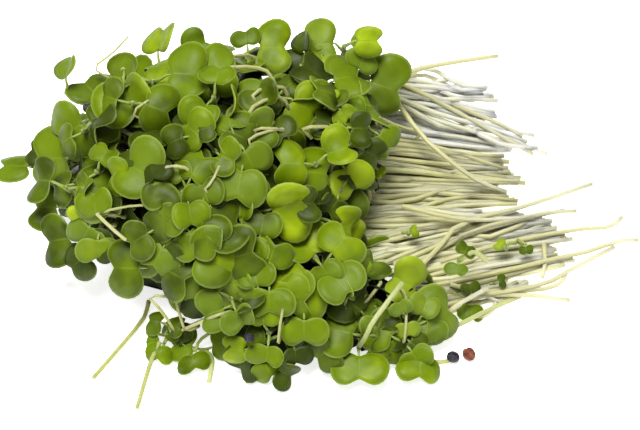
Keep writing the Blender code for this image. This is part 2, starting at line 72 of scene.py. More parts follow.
# The leafy mass: half ellipsoids on the table, as centre and radii in millimetres, and where each handful is
lobes = {
    "crown": ((-26, 12, 0), (41.5, 38, 43)),
    "backRight": ((5, 19, 0), (16.5, 24, 36)),
    "front": ((-10, -15.5, 0), (26, 20.5, 22.5)),
    "frontRight": ((15, -20, 0), (18, 12, 12)),
}
tufts = {
    "leaf_tuft_left_front": (-48, -1, 10),
    "leaf_tuft_left_back": (-47, 27, 10),
    "leaf_tuft_back": (-19, 38, 12),
    "leaf_tuft_crown": (-26, 12, 33),
    "leaf_tuft_middle_front": (-28, -12, 12),
    "leaf_tuft_right_back": (5, 25, 16),
    "leaf_tuft_right_middle": (2, 0, 14),
    "leaf_tuft_front": (-8, -25, 8),
    "leaf_tuft_front_right": (16, -22, 4),
}


def sightLine(across, down):
    sideways = toRight * (across - view["centre"][0])
    upwards = toTop * (view["centre"][1] - down)
    return (sideways + upwards - toEye * focalPixels).normalized()


def atHeight(across, down, height):
    line = sightLine(across, down)
    return eye + line * ((height * mm - eye.z) / line.z)


def lobeNormal(point, lobe):
    centre, radii = lobe
    return Vector([(point[i] / mm - centre[i]) / radii[i] ** 2 for i in range(3)]).normalized()


def lobeDistance(point, lobe):
    centre, radii = lobe
    return math.sqrt(sum(((point[i] / mm - centre[i]) / radii[i]) ** 2 for i in range(3)))


def onHeap(across, down):  # where a sight line meets the leafy mass, or passes closest to it
    line = sightLine(across, down)
    best = None
    for lobe in lobes.values():
        centre, radii = lobe
        start = Vector([(eye[i] / mm - centre[i]) / radii[i] for i in range(3)])
        step = Vector([line[i] / mm / radii[i] for i in range(3)])
        middle = -start.dot(step) / step.dot(step)
        miss = (start + step * middle).length
        reach = math.sqrt(max(0.0, 1 - miss * miss)) / step.length
        point = eye + line * (middle - reach)
        rank = (max(0.0, miss - 1), middle - reach)
        if point.z > 0 and (best is None or rank < best[0]):
            best = (rank, point, lobeNormal(point, lobe))
    return best[1], best[2]


def pictureWay(turn):
    return toRight * math.cos(math.radians(turn)) + toTop * math.sin(math.radians(turn))


def tuftOf(point):
    return min(tufts, key=lambda name: (Vector(tufts[name]) * mm - point).length)


def deselectAll():
    bpy.ops.object.select_all(action="DESELECT")


# The finishes: every node comes from addNode, and sums are written with operators
def addNode(tree, kind, settings=None, inputs=None, output=0):
    node = tree.nodes.new(kind)
    for key, value in (settings or {}).items():
        setattr(node, key, value)
    for key, value in (inputs or {}).items():
        if isinstance(value, Maths):
            tree.links.new(value.socket, node.inputs[key])
        else:
            node.inputs[key].default_value = value
    return Maths(tree, node.outputs[output])


class Maths:  # a socket with operators
    def __init__(self, tree, socket):
        self.tree, self.socket = tree, socket

    def op(self, kind, other=None):
        inputs = {0: self} if other is None else {0: self, 1: other}
        return addNode(self.tree, "ShaderNodeMath", {"operation": kind}, inputs)

    def output(self, index):  # another output of the same node
        return Maths(self.tree, self.socket.node.outputs[index])

    def __add__(self, other):
        return self.op("ADD", other)

    def __mul__(self, other):
        return self.op("MULTIPLY", other)

    def __sub__(self, other):
        return self.op("SUBTRACT", other)

    def __rsub__(self, other):
        return (self * -1.0) + other

    def __abs__(self):
        return self.op("ABSOLUTE")

    def step(self, low, high):  # 0 under low, 1 over high, smooth between
        settings = {"interpolation_type": "SMOOTHSTEP"}
        return addNode(self.tree, "ShaderNodeMapRange", settings, {0: self, 1: low, 2: high})

    __radd__ = __add__
    __rmul__ = __mul__


class Finish:  # one material and its nodes
    def __init__(self, name, roughness, **fixed):
        self.material = bpy.data.materials.new(name)
        self.material.use_nodes = True
        self.tree = self.material.node_tree
        self.shader = self.tree.nodes["Principled BSDF"]
        self.shader.inputs["Roughness"].default_value = roughness
        for socket, value in fixed.items():
            self.shader.inputs[socket.replace("_", " ")].default_value = value

    def node(self, kind, settings=None, inputs=None, output=0):
        return addNode(self.tree, kind, settings, inputs, output)

    def attribute(self, name):
        return self.node("ShaderNodeAttribute", {"attribute_name": name}, output=2)

    def noise(self, scale, detail=2.0):
        place = self.node("ShaderNodeTexCoord", output=3)
        return self.node("ShaderNodeTexNoise", inputs={"Vector": place, "Scale": scale, "Detail": detail})

    def mix(self, factor, first, second):
        return self.node("ShaderNodeMix", {"data_type": "RGBA"}, {0: factor, 6: first, 7: second}, output=2)

    def feed(self, socket, value):
        self.tree.links.new(value.socket, self.shader.inputs[socket])

    def bump(self, height, distance, strength):
        inputs = {"Height": height, "Distance": distance, "Strength": strength}
        return self.node("ShaderNodeBump", inputs=inputs)


def rgb(red, green, blue):  # a colour as a screen shows it
    return tuple((value / 255) ** 2.2 for value in (red, green, blue)) + (1.0,)


leafLook = {
    # painted shade, for the leaves inside the heap
    "deep": rgb(18, 24, 6),
    "dark": rgb(53, 65, 6),
    "middle": rgb(93, 113, 4),
    "bright": rgb(154, 173, 20),
    # painted sheen, in grey patches on the lighter leaves
    "grey": rgb(96, 114, 42),
    "under": rgb(92, 108, 40),
    # a painted highlight along the blades' edges
    "rim": rgb(138, 156, 72),
    "rib": rgb(114, 132, 38),
}
leafGrain = {
    "tonePatches": 150.0,
    "sheenPatches": 48.0,
    "sheen": 900.0,
    "skin": 1400.0,
    "veinSlant": 1.5,
    "veinsPerBlade": 3.4,
    "bumpDepth": 0.0002,
}
stemLook = {
    "green": rgb(112, 134, 50),
    "cream": rgb(197, 195, 151),
    "white": rgb(200, 200, 190),
    "shade": rgb(166, 162, 112),
}
stemGrain = {"streaks": 260.0, "skin": 1800.0, "bumpDepth": 0.0002}
hullGrain = {"patches": 900.0, "wrinkles": 2200.0, "bumpDepth": 0.0005}
# painted shade: the near-black green of the heap's inside where it shows between leaves
insideShadeLook = {"dark": rgb(20, 28, 10), "olive": rgb(46, 56, 22), "patches": 220.0}


def makeLeafFinish():
    leaf = Finish("cressLeaf", 0.46, Subsurface_Weight=0.12, Subsurface_Scale=0.0008, Specular_IOR_Level=0.16)
    leaf.shader.inputs["Subsurface Radius"].default_value = (0.6, 1.0, 0.1)
    tone, under, rim = leaf.attribute("tone"), leaf.attribute("under"), leaf.attribute("rim")
    tone = tone + (leaf.noise(leafGrain["tonePatches"]) - 0.5) * 0.75
    # Tones under zero darken towards painted shade, for the leaves deep inside the heap
    colour = leaf.mix(tone.step(-0.6, 0.0), leafLook["deep"], leafLook["dark"])
    colour = leaf.mix(tone.step(0.0, 0.5), colour, leafLook["middle"])
    colour = leaf.mix(tone.step(0.5, 1.0), colour, leafLook["bright"])
    # Grey patches of painted sheen, on the lighter leaves only
    sheenPatches = leaf.noise(leafGrain["sheenPatches"], 0.0).step(0.5, 0.66) * tone.step(0.05, 0.5)
    colour = leaf.mix(sheenPatches * 0.5, colour, leafLook["grey"])
    uv = leaf.node("ShaderNodeSeparateXYZ", inputs={0: leaf.node("ShaderNodeUVMap", {"uv_map": "blade"})})
    across, along = abs(uv - 0.5), uv.output(1)
    slant = (along - across * leafGrain["veinSlant"]) * leafGrain["veinsPerBlade"]
    veins = abs(slant.op("FRACT") - 0.5).step(0.44, 0.5) * across.step(0.0, 0.05)
    rib = (1 - across.step(0.004, 0.03)) * (1 - along.step(0.35, 0.7))
    lines = rib * 0.4 + veins * 0.12
    inView = tone.step(-0.3, 0.3)
    colour = leaf.mix(lines * inView, colour, leafLook["rib"])
    colour = leaf.mix(under * inView * 0.5, colour, leafLook["under"])
    # A lighter line along each blade's edge, a painted highlight
    colour = leaf.mix(rim.step(0.9, 1.0) * inView * 0.55, colour, leafLook["rim"])
    leaf.feed("Base Color", colour)
    leaf.feed("Roughness", leaf.noise(leafGrain["sheen"]) * 0.2 + 0.36)
    relief = lines * -1.2 + leaf.noise(leafGrain["skin"], 3.0) * 0.4
    leaf.feed("Normal", leaf.bump(relief, leafGrain["bumpDepth"], 0.35))
    return leaf.material


def makeStemFinish():
    stem = Finish("cressStem", 0.5, Subsurface_Weight=0.5, Subsurface_Scale=0.003, Specular_IOR_Level=0.4)
    stem.shader.inputs["Subsurface Radius"].default_value = (1.0, 0.95, 0.6)
    pale, tone = stem.attribute("pale"), stem.attribute("tone")
    colour = stem.mix(pale.step(0.0, 1.0), stemLook["green"], stemLook["cream"])
    streaks = tone + stem.noise(stemGrain["streaks"], 3.0) * 0.5
    colour = stem.mix(streaks.step(0.35, 1.1) * 0.7, colour, stemLook["shade"])
    colour = stem.mix(pale.step(1.0, 2.0), colour, stemLook["white"])
    stem.feed("Base Color", colour)
    stem.feed("Normal", stem.bump(stem.noise(stemGrain["skin"], 3.0), stemGrain["bumpDepth"], 0.3))
    return stem.material


def makeHullFinish(name, first, second):
    hull = Finish(name, 0.5, Specular_IOR_Level=0.35)
    hull.feed("Base Color", hull.mix(hull.noise(hullGrain["patches"], 4.0).step(0.4, 0.65), first, second))
    hull.feed("Normal", hull.bump(hull.noise(hullGrain["wrinkles"], 5.0), hullGrain["bumpDepth"], 0.8))
    return hull.material


def makeInsideShadeFinish():
    inside = Finish("cressInsideShade", 0.8, Specular_IOR_Level=0.2)
    patches = inside.noise(insideShadeLook["patches"], 4.0).step(0.4, 0.7)
    inside.feed("Base Color", inside.mix(patches, insideShadeLook["dark"], insideShadeLook["olive"]))
    return inside.material


leafFinish, stemFinish = makeLeafFinish(), makeStemFinish()
blackHull = makeHullFinish("hullBlack", rgb(20, 18, 26), rgb(52, 48, 58))
brownHull = makeHullFinish("hullBrown", rgb(82, 34, 22), rgb(136, 74, 48))
insideShadeFinish = makeInsideShadeFinish()
print("finishes ready")


def smoothPath(points, count):  # points along a smooth curve through the given ones
    controls = [Vector(point) for point in points]
    controls = [controls[0] * 2 - controls[1], *controls, controls[-1] * 2 - controls[-2]]
    path = []
    spans = len(controls) - 3
    for i in range(count):
        at = i / (count - 1) * spans
        k = min(int(at), spans - 1)
        t = at - k
        a, b, c, d = controls[k:k + 4]
        bend, turn = a * 2 - b * 5 + c * 4 - d, b * 3 - a - c * 3 + d
        path.append(0.5 * ((b * 2) + (c - a) * t + bend * t ** 2 + turn * t ** 3))
    return path


# One seed leaf, flat, one unit wide each side of its midrib, with its neck at the origin
bladeShape = {
    "side": (
        (0.06, 0.09), (0.22, 0.02), (0.50, -0.03), (0.82, 0.10), (1.02, 0.42),
        (1.00, 0.78), (0.78, 1.05), (0.46, 1.11), (0.18, 0.98),
    ),
    "pointsPerSide": 16,
    "plainPointsPerSide": 11,
    "notch": 0.89,
    "neck": 0.08,
    "middle": (0.0, 0.5),
    "inner": 0.62,
    "thickness": 0.055,
    "foldPower": 1.2,
    "curlFrom": 0.3,
    "waves": 3,
}


def makeBlade(name, pointsPerSide, withRing):
    corners = [(*point, 0) for point in bladeShape["side"]]
    side = [tuple(point[:2]) for point in smoothPath(corners, pointsPerSide)]
    otherSide = [(-x, y) for x, y in reversed(side)]
    outline = [(0, bladeShape["neck"]), *side, (0, bladeShape["notch"]), *otherSide]
    deselectAll()
    fill = "NGON" if withRing else "TRIFAN"
    bpy.ops.mesh.primitive_circle_add(vertices=len(outline), radius=1, fill_type=fill)
    blade = bpy.context.object
    bpy.ops.object.mode_set(mode="EDIT")
    bpy.ops.mesh.select_all(action="SELECT")
    if withRing:
        bpy.ops.mesh.inset(thickness=0.4)
        bpy.ops.mesh.poke()
    bpy.ops.object.mode_set(mode="OBJECT")
    mesh = blade.data
    mesh.attributes.new("rim", "FLOAT", "POINT")
    middle = Vector((*bladeShape["middle"], 0))
    for vertex in mesh.vertices:
        radius = vertex.co.length
        place = (math.atan2(vertex.co.y, vertex.co.x) + math.pi / 2) / (2 * math.pi) * len(outline)
        edge = Vector((*outline[round(place) % len(outline)], 0))
        share = 1.0 if radius > 0.9 else bladeShape["inner"] if radius > 0.2 else 0.0  # edge, ring, middle
        vertex.co = middle + (edge - middle) * share
        mesh.attributes["rim"].data[vertex.index].value = share
    uvs = mesh.uv_layers.new(name="blade")
    for loop in mesh.loops:
        x, y, _ = mesh.vertices[loop.vertex_index].co
        uvs.data[loop.index].uv = (x * 0.5 + 0.5, y / 1.3)
    for other in [layer.name for layer in mesh.uv_layers if layer.name != "blade"]:
        mesh.uv_layers.remove(mesh.uv_layers[other])
    wall = blade.modifiers.new("wall", "SOLIDIFY")
    wall.thickness, wall.offset = bladeShape["thickness"], -1
    bpy.ops.object.modifier_apply(modifier="wall")
    for attribute in ("under", "tone", "pale"):
        blade.data.attributes.new(attribute, "FLOAT", "POINT")
    for vertex in blade.data.vertices:
        blade.data.attributes["under"].data[vertex.index].value = float(vertex.co.z < -0.01)
    bpy.ops.object.shade_smooth()
    blade.name = name
    return blade


def makeTube(name, sides, rings):  # a straight stem of radius 1 and height 1, to be bent along a path
    deselectAll()
    ends = {"end_fill_type": "NGON", "location": (0, 0, 0.5)}
    bpy.ops.mesh.primitive_cylinder_add(vertices=sides, radius=1, depth=1, **ends)
    tube = bpy.context.object
    bpy.ops.object.transform_apply(location=True)
    bpy.ops.object.mode_set(mode="EDIT")
    bpy.ops.mesh.select_all(action="DESELECT")
    bpy.ops.object.mode_set(mode="OBJECT")
    for edge in tube.data.edges:
        low, high = (tube.data.vertices[i].co for i in edge.vertices)
        edge.select = abs(low.z - high.z) > 0.5
    bpy.ops.object.mode_set(mode="EDIT")
    bpy.ops.mesh.select_mode(type="EDGE")
    bpy.ops.mesh.subdivide(number_cuts=rings)
    bpy.ops.object.mode_set(mode="OBJECT")
    for attribute in ("rim", "under", "tone", "pale"):
        tube.data.attributes.new(attribute, "FLOAT", "POINT")
    bpy.ops.object.shade_smooth()
    tube.name = name
    return tube


def coordinatesOf(mesh):
    flat = np.empty(len(mesh.vertices) * 3)
    mesh.vertices.foreach_get("co", flat)
    return flat.reshape(-1, 3)


bladeMaster = makeBlade("bladeMaster", bladeShape["pointsPerSide"], True)
plainBladeMaster = makeBlade("plainBladeMaster", bladeShape["plainPointsPerSide"], False)
tubeMaster = makeTube("tubeMaster", 6, 6)
petioleMaster = makeTube("petioleMaster", 5, 2)
masters = (bladeMaster, plainBladeMaster, tubeMaster, petioleMaster)
masterPoints = {master.name: coordinatesOf(master.data) for master in masters}
leafParts, stemParts = {}, {}  # copies, by the node that they stand for


def copyOf(master, points, material, values):
    copy = bpy.data.objects.new(master.name, master.data.copy())
    bpy.context.scene.collection.objects.link(copy)
    copy.data.vertices.foreach_set("co", points.astype(np.float32).ravel())
    for name, value in values.items():
        filled = np.broadcast_to(np.asarray(value, np.float32), (len(points),))
        copy.data.attributes[name].data.foreach_set("value", np.ascontiguousarray(filled))
    copy.data.materials.clear()
    copy.data.materials.append(material)
    return copy


def addBlade(master, place, rows, width, bend, tone):  # rows are the blade's own x, y and z directions
    x, y, z = masterPoints[master.name].T
    half = width / 2
    height = z + bend["fold"] * np.abs(x) ** bladeShape["foldPower"] - bend["droop"] * y ** 2
    beyond = y - bladeShape["middle"][1]
    spread = np.sqrt(x ** 2 + beyond ** 2)
    height = height - bend["curl"] * np.maximum(spread - bladeShape["curlFrom"], 0) ** 2
    ripple = np.sin(bladeShape["waves"] * np.arctan2(beyond, x) + bend["phase"])
    height = height + bend["wave"] * ripple * spread ** 2
    narrow = 1 / math.sqrt(1 + 0.5 * bend["fold"] ** 2)  # a folded leaf looks narrower
    uneven = 1 + bend["uneven"] * np.sign(x)
    local = np.stack([x * narrow * uneven, y * bend["long"], height], axis=1) * half
    turn = bend["twist"] * y
    turned = local.copy()
    turned[:, 0] = local[:, 0] * np.cos(turn) - local[:, 2] * np.sin(turn)
    turned[:, 2] = local[:, 0] * np.sin(turn) + local[:, 2] * np.cos(turn)
    world = np.asarray(place) + turned @ np.asarray(rows)
    lift = max(0.0, lying["leafGap"] - world[:, 2].min())
    world[:, 2] += lift - max(0.0, world[:, 2].max() - cadBox[1][2])
    return copyOf(master, world, leafFinish, {"tone": tone})


def addTube(master, points, radius, material, values, taper=(1.0, 1.0)):
    shape = masterPoints[master.name]
    levels = np.round(shape[:, 2], 4)
    heights = sorted(set(levels))
    path = smoothPath(points, len(heights))
    world = np.empty_like(shape)
    side = None
    for i, height in enumerate(heights):
        ahead = (path[min(i + 1, len(path) - 1)] - path[max(i - 1, 0)]).normalized()
        if side is None:
            side = ahead.orthogonal().normalized()
        side = (side - ahead * side.dot(ahead)).normalized()
        other = ahead.cross(side)
        ring = levels == height
        size = radius * (taper[0] + (taper[1] - taper[0]) * height)
        world[ring] = (
            np.asarray(path[i])
            + np.outer(shape[ring, 0], side) * size
            + np.outer(shape[ring, 1], other) * size
        )
    world[:, 2] = np.maximum(world[:, 2], lying["stemGap"])
    along = shape[:, 2]
    filled = {name: value(along) if callable(value) else value for name, value in values.items()}
    return copyOf(master, world, material, filled)


chance = random.Random(12)
headShape = {
    "neck": 0.26,
    "petiole": 0.25,
    "slope": 1.0,
    "sibling": 0.88,
    "siblingTurn": 0.45,
    "siblingSize": (0.88, 1.1),
    "siblingTone": (-0.25, 0.05),
    "lean": 0.25,
    "lowest": 1.2 * mm,
    "stemRadius": 0.6 * mm,
    "petioleRadius": 0.46 * mm,
    "petioleTaper": (1.05, 0.4),
    "petioleSink": 0.35,
    "petioleBow": 0.3,
    "stemTop": 0.5,
    "stemNeck": 6,
    "stemSag": 1.5,
}


def bladeRows(normal, way):
    facing = max(0.25, normal.dot(toEye))
    along = (way - toEye * (normal.dot(way) / facing)).normalized()
    along = (along - normal * along.dot(normal)).normalized()
    return [along.cross(normal).normalized(), along, normal]


# How the leaves differ: the folds that are drawn from, and lowest and highest of the rest
bendShape = {
    "folds": (-0.3, -0.15, 0.0, 0.15, 0.3, 0.6),
    "foldChange": (-0.1, 0.1),
    "droop": (-0.05, 0.3),
    "curl": (-0.1, 0.7),
    "wave": (0.02, 0.22),
    "phase": (0, 6.28),
    "twist": (-0.35, 0.35),
    "uneven": (-0.1, 0.1),
    "long": (0.98, 1.2),
}
heart = {"pull": (0.45, 0.5, 0.35), "middle": (4, 3, 0), "spread": 6}


def randomBend(fold=None, long=None):
    if fold is None:
        fold = chance.choice(bendShape["folds"]) + chance.uniform(*bendShape["foldChange"])
    bend = {"fold": fold}
    for name in ("droop", "curl", "wave", "phase", "twist", "uneven"):
        bend[name] = chance.uniform(*bendShape[name])
    bend["long"] = chance.uniform(*bendShape["long"]) if long is None else long
    return bend


def heartOfHeap(point):  # a place well inside the heap for a stem to run to
    inner = Vector([point[i] * heart["pull"][i] + heart["middle"][i] * mm for i in range(3)])
    return inner + Vector([chance.uniform(-heart["spread"], heart["spread"]) * mm for _ in range(2)] + [0])


# Two seed leaves, their leaf stalks and the top of their stem, from where the first leaf is and its way
def addHead(
    node, place, normal, way, width, tone, master, sibling=True, stem=True, fold=None, long=None, above=None
):
    rows = bladeRows(normal, way)
    neck = place - rows[1] * (width * headShape["neck"])
    reach = headShape["petiole"] * width
    joint = neck - rows[1] * reach - (above or normal) * headShape["slope"] * reach
    joint.z = max(joint.z, headShape["lowest"])
    inner = heartOfHeap(joint)
    lean = headShape["lean"]
    axis = (normal * (1 - lean) + (joint - inner).normalized() * lean).normalized()
    made = [(neck, rows, width)]
    if sibling:
        spread = headShape["siblingTurn"]
        spin = Matrix.Rotation(math.pi + chance.uniform(-spread, spread), 3, axis)
        scale = headShape["sibling"] * chance.uniform(*headShape["siblingSize"])
        made.append((joint + (spin @ (neck - joint)) * scale, [spin @ row for row in rows], width * scale))
    parts = leafParts.setdefault(node, [])
    for index, (start, ways, size) in enumerate(made):
        shape = randomBend(fold, long) if index == 0 else randomBend()
        leafTone = tone + (chance.uniform(*headShape["siblingTone"]) if index else 0)
        parts.append(addBlade(master, start, ways, size, shape, leafTone))
        ribEnd = start + ways[1] * size * 0.10 - ways[2] * size * 0.02
        inward = start - ways[2] * headShape["petioleSink"] * mm
        bowed = (joint + inward) / 2 - ways[2] * headShape["petioleBow"] * mm
        stalk = (petioleMaster, [joint, bowed, inward, ribEnd], headShape["petioleRadius"], stemFinish)
        parts.append(addTube(*stalk, {"pale": 0.1, "tone": 0.2}, headShape["petioleTaper"]))
    if stem:
        below = joint - axis * headShape["stemNeck"] * mm
        halfway = below.lerp(inner, 0.5) + Vector((0, 0, -headShape["stemSag"] * mm))
        points = [joint + axis * headShape["stemTop"] * mm, below, halfway, inner]
        look = {"pale": lambda t: 0.15 + 0.6 * np.minimum(t * 1.4, 1), "tone": 0.4}
        parts.append(addTube(tubeMaster, points, headShape["stemRadius"], stemFinish, look))
    return joint


# The heads that show: across, down, way from leaf stalk to notch in degrees, width in pixels, tone, and for
# some how long for its width, how folded, and how far rolled on its side in degrees
shownHeads = (
    (67, 70, 75, 38, 0.5, 1.2, 0.3, -52), (21, 166, 180, 38, 0.55, 1.7, 0.1, 20), (90, 88, 130, 54, 0.5),
    (72, 130, -145, 62, 0.58), (103, 155, 60, 34, 0.45), (53, 158, 180, 60, 0.5), (90, 187, 0, 60, 0.45),
    (38, 152, 160, 34, 0.2, 1.1, 0.2), (47, 207, 180, 48, 0.35), (79, 212, -90, 24, 0.7),
    (58, 240, -170, 54, 0.2), (84, 235, -120, 46, 0.3), (127, 95, -75, 66, 0.5, 1.3, 0.6),
    (156, 108, -20, 54, 0.5), (158, 42, 85, 46, 0.55, 1.25, 0.3, -48), (163, 66, 180, 60, 0.55),
    (184, 74, 0, 64, 0.55), (198, 48, 40, 44, 0.55), (148, 138, 100, 40, 0.1), (202, 113, -120, 44, 0.4),
    (196, 133, 140, 46, 0.5), (141, 171, 150, 64, 0.45, 1.1, 0.3), (118, 176, 180, 40, 0.4, 1.0, 0.4),
    (160, 186, -40, 44, 0.4), (196, 168, 60, 50, 0.3), (220, 70, 10, 54, 0.6), (272, 47, 0, 58, 0.5),
    (246, 38, 100, 32, 0.55), (322, 43, 180, 54, 0.55), (322, 62, -90, 28, 0.7),
    (304, 44, 90, 34, 0.2, 1.2, 0.3, -52), (363, 41, 0, 32, 0.68, 1.6, 0.1), (346, 76, 20, 62, 0.62),
    (362, 62, 60, 36, 0.4, 1.0, 0.2), (302, 74, 0, 36, 0.15, 1.0, 0.2), (383, 86, -18, 64, 0.6),
    (288, 66, -30, 44, 0.1), (290, 84, 40, 34, 0.3), (304, 106, -30, 56, 0.65),
    (234, 106, 70, 50, 0.65, 1.3, 0.6, 50), (236, 134, -20, 50, 0.42), (250, 160, -60, 48, 0.52),
    (239, 184, -100, 60, 0.42, 1.1, 0.2), (294, 163, 180, 48, 0.55), (317, 172, 0, 60, 0.68),
    (350, 178, -60, 50, 0.72), (334, 137, -100, 44, 0.95, 1.1, 0.4, 60), (344, 114, -50, 26, 0.95),
    (286, 206, 15, 66, 0.7), (384, 141, -50, 38, 0.3), (371, 154, -30, 36, 0.25), (360, 128, 0, 38, 0.0),
    (163, 213, 165, 58, 0.45), (190, 213, -80, 40, 0.45), (221, 225, 20, 62, 0.42), (209, 257, 5, 64, 0.4),
    (182, 279, 200, 68, 0.5), (127, 268, 180, 58, 0.35), (232, 285, 180, 64, 0.68),
    (256, 277, 100, 42, 0.5, 1.0, 0.4), (298, 289, -138, 68, 0.68), (308, 245, 130, 54, 0.85),
    (342, 226, -20, 46, 0.8), (252, 250, -70, 38, 0.45), (279, 249, 80, 36, 0.45),
    (269, 302, -90, 50, 0.4), (358, 240, 5, 52, 0.9, 0.7, 0.1), (334, 206, -120, 36, 0.2),
    (305, 204, 10, 40, 0.15), (326, 273, -60, 38, 0.35, 1.1, 0.6), (238, 350, 180, 30, 0.68, 1.4, 0.1),
    (267, 355, -95, 38, 0.68), (268, 376, -60, 36, 0.6), (285, 382, -30, 34, 0.3, 1.1, 0.6),
    (404, 281, -25, 54, 0.95), (343, 331, 165, 48, 0.6), (383, 331, 150, 46, 0.5),
    (388, 363, -70, 42, 0.55), (437, 316, 25, 56, 0.45), (424, 308, 70, 34, 0.65, 1.2, 0.6),
    (408, 329, -80, 26, 0.7), (304, 330, -90, 46, 0.45), (324, 354, 220, 46, 0.4, 1.0, 0.4),
    (371, 268, 60, 40, 0.35), (194, 240, -60, 44, 0.35), (158, 256, -120, 44, 0.35),
    (296, 356, -80, 32, 0.0), (262, 226, 80, 40, 0.28), (98, 250, -90, 44, 0.5), (262, 128, 10, 44, 0.28),
    (262, 98, 120, 44, 0.35), (330, 98, 60, 40, 0.45), (206, 196, 110, 42, 0.3),
    (140, 238, -150, 42, 0.25), (355, 306, 140, 36, 0.2), (415, 346, -40, 30, 0.35),
    (240, 318, -60, 40, 0.25), (348, 290, 90, 34, 0.65, 1.1, 0.7, 50), (214, 312, 200, 44, 0.3),
    (176, 140, 200, 36, 0.2), (78, 262, -140, 40, 0.2), (60, 186, 190, 40, 0.35), (100, 120, 20, 44, 0.15),
)
shownShape = {
    "outwards": (0.15, 0.4),  # where the heap is seen edge on, and what is added where it faces the eye
    "toEye": 0.85,
    "roll": 0.3,
    "nod": 0.25,
    "tone": (-0.25, 0.12),
}
for across, down, turn, width, tone, *shape in shownHeads:
    long, fold, roll = (shape + [0])[:3] if shape else (None, None, 0)
    place, outwards = onHeap(across, down)
    facing = max(0.0, outwards.dot(toEye))
    edgeOn, more = shownShape["outwards"]
    normal = (outwards * (edgeOn + more * facing) + toEye * shownShape["toEye"]).normalized()
    roll = math.radians(roll) + chance.uniform(-shownShape["roll"], shownShape["roll"])
    nod = Matrix.Rotation(chance.uniform(-shownShape["nod"], shownShape["nod"]), 3, toRight)
    tilt = Matrix.Rotation(roll, 3, pictureWay(turn)) @ nod
    size = width / view["pixelsPerMetre"]
    leafTone = tone + chance.uniform(*shownShape["tone"])
    addHead(
        tuftOf(place), place, tilt @ normal, pictureWay(turn), size, leafTone, bladeMaster,
        sibling=not shape, fold=fold, long=long, above=(outwards + toEye).normalized(),
    )
print("shown heads", len(shownHeads))

# The heads between and behind them, in layers from the inside out: share of the heap's radii, spacing, tone;
# the lower tone of the inner layers is painted shade
fillShape = {
    "layers": ((0.72, 8.0, -0.25), (0.84, 8.5, -0.1), (0.95, 9.0, 0.33)),
    "width": (11.0, 14.5),
    "tries": 2600,
    "heights": (0.06, 0.99),
    "paired": 0.8,
    "upwards": 0.35,
    "tilt": 0.5,
    "tone": (-0.2, 0.25),
    "topMargin": 12,
    "frontMargin": (40, 50),
    "rightMargin": (18, 60),
    "middle": (215, 200),
}
outermost = fillShape["layers"][-1][0]
# The heap's outline in the picture, for the filling to stay within
topEdge = (
    (0, 150), (45, 95), (70, 80), (110, 72), (150, 50), (200, 48), (250, 35), (330, 35), (375, 45), (405, 75),
    (640, 75),
)
rightEdge = (
    (0, 375), (50, 375), (75, 400), (110, 392), (150, 392), (175, 368), (200, 360), (225, 352), (245, 372),
    (262, 385), (280, 425), (320, 436), (345, 424), (430, 400),
)
frontEdge = (
    (0, 190), (35, 228), (60, 252), (110, 276), (150, 284), (200, 292), (225, 325), (262, 362), (300, 378),
    (330, 362), (390, 376), (460, 335), (640, 300),
)


def inPicture(point):  # where a point is seen, in pixels across and down
    away = point - eye
    depth = -away.dot(toEye)
    return (
        view["centre"][0] + focalPixels * away.dot(toRight) / depth,
        view["centre"][1] - focalPixels * away.dot(toTop) / depth,
    )


def edgeAt(edge, value):
    return np.interp(value, *zip(*edge))


def insideOutline(across, down, share):
    inner = outermost - share
    front, frontMore = fillShape["frontMargin"]
    right, rightMore = fillShape["rightMargin"]
    return (
        down >= edgeAt(topEdge, across) + fillShape["topMargin"]
        and down <= edgeAt(frontEdge, across) - front - inner * frontMore
        and across <= edgeAt(rightEdge, down) - right - inner * rightMore
    )


shownPlaces = [onHeap(*head[:2])[0] for head in shownHeads]
fillCount = 0
for share, spacing, layerShadeTone in fillShape["layers"]:
    taken = list(shownPlaces) if share == outermost else []
    paired = share > fillShape["paired"]
    for centre, radii in lobes.values():
        lobe = (centre, radii)
        for _ in range(fillShape["tries"]):
            height = chance.uniform(*fillShape["heights"])
            angle = chance.uniform(0, 2 * math.pi)
            flat = math.sqrt(1 - height * height)
            unit = (flat * math.cos(angle), flat * math.sin(angle), height)
            point = Vector([(centre[i] + radii[i] * unit[i] * share) * mm for i in range(3)])
            if any(lobeDistance(point, other) < share * 0.98 for other in lobes.values() if other != lobe):
                continue
            across, down = inPicture(point)
            if not insideOutline(across, down, share):
                continue
            if any((point - other).length < spacing * mm for other in taken):
                continue
            taken.append(point)
            outwards = lobeNormal(point, lobe)
            tilt = Vector([chance.uniform(-fillShape["tilt"], fillShape["tilt"]) for _ in range(3)])
            normal = (outwards + Vector((0, 0, fillShape["upwards"])) + tilt).normalized()
            side = normal.orthogonal().normalized()
            turn = chance.uniform(0, 2 * math.pi)
            way = side * math.cos(turn) + normal.cross(side) * math.sin(turn)
            middle = fillShape["middle"]
            if way.dot(toRight * (across - middle[0]) + toTop * (middle[1] - down)) < 0:
                way = -way  # so that its leaf stalk comes from inside the heap
            width = chance.uniform(*fillShape["width"]) * mm
            tone = layerShadeTone + chance.uniform(*fillShape["tone"])
            head = (point, normal, way, width, tone, plainBladeMaster)
            addHead(tuftOf(point), *head, sibling=paired, stem=paired)
            fillCount += 1
print("filling heads", fillCount)

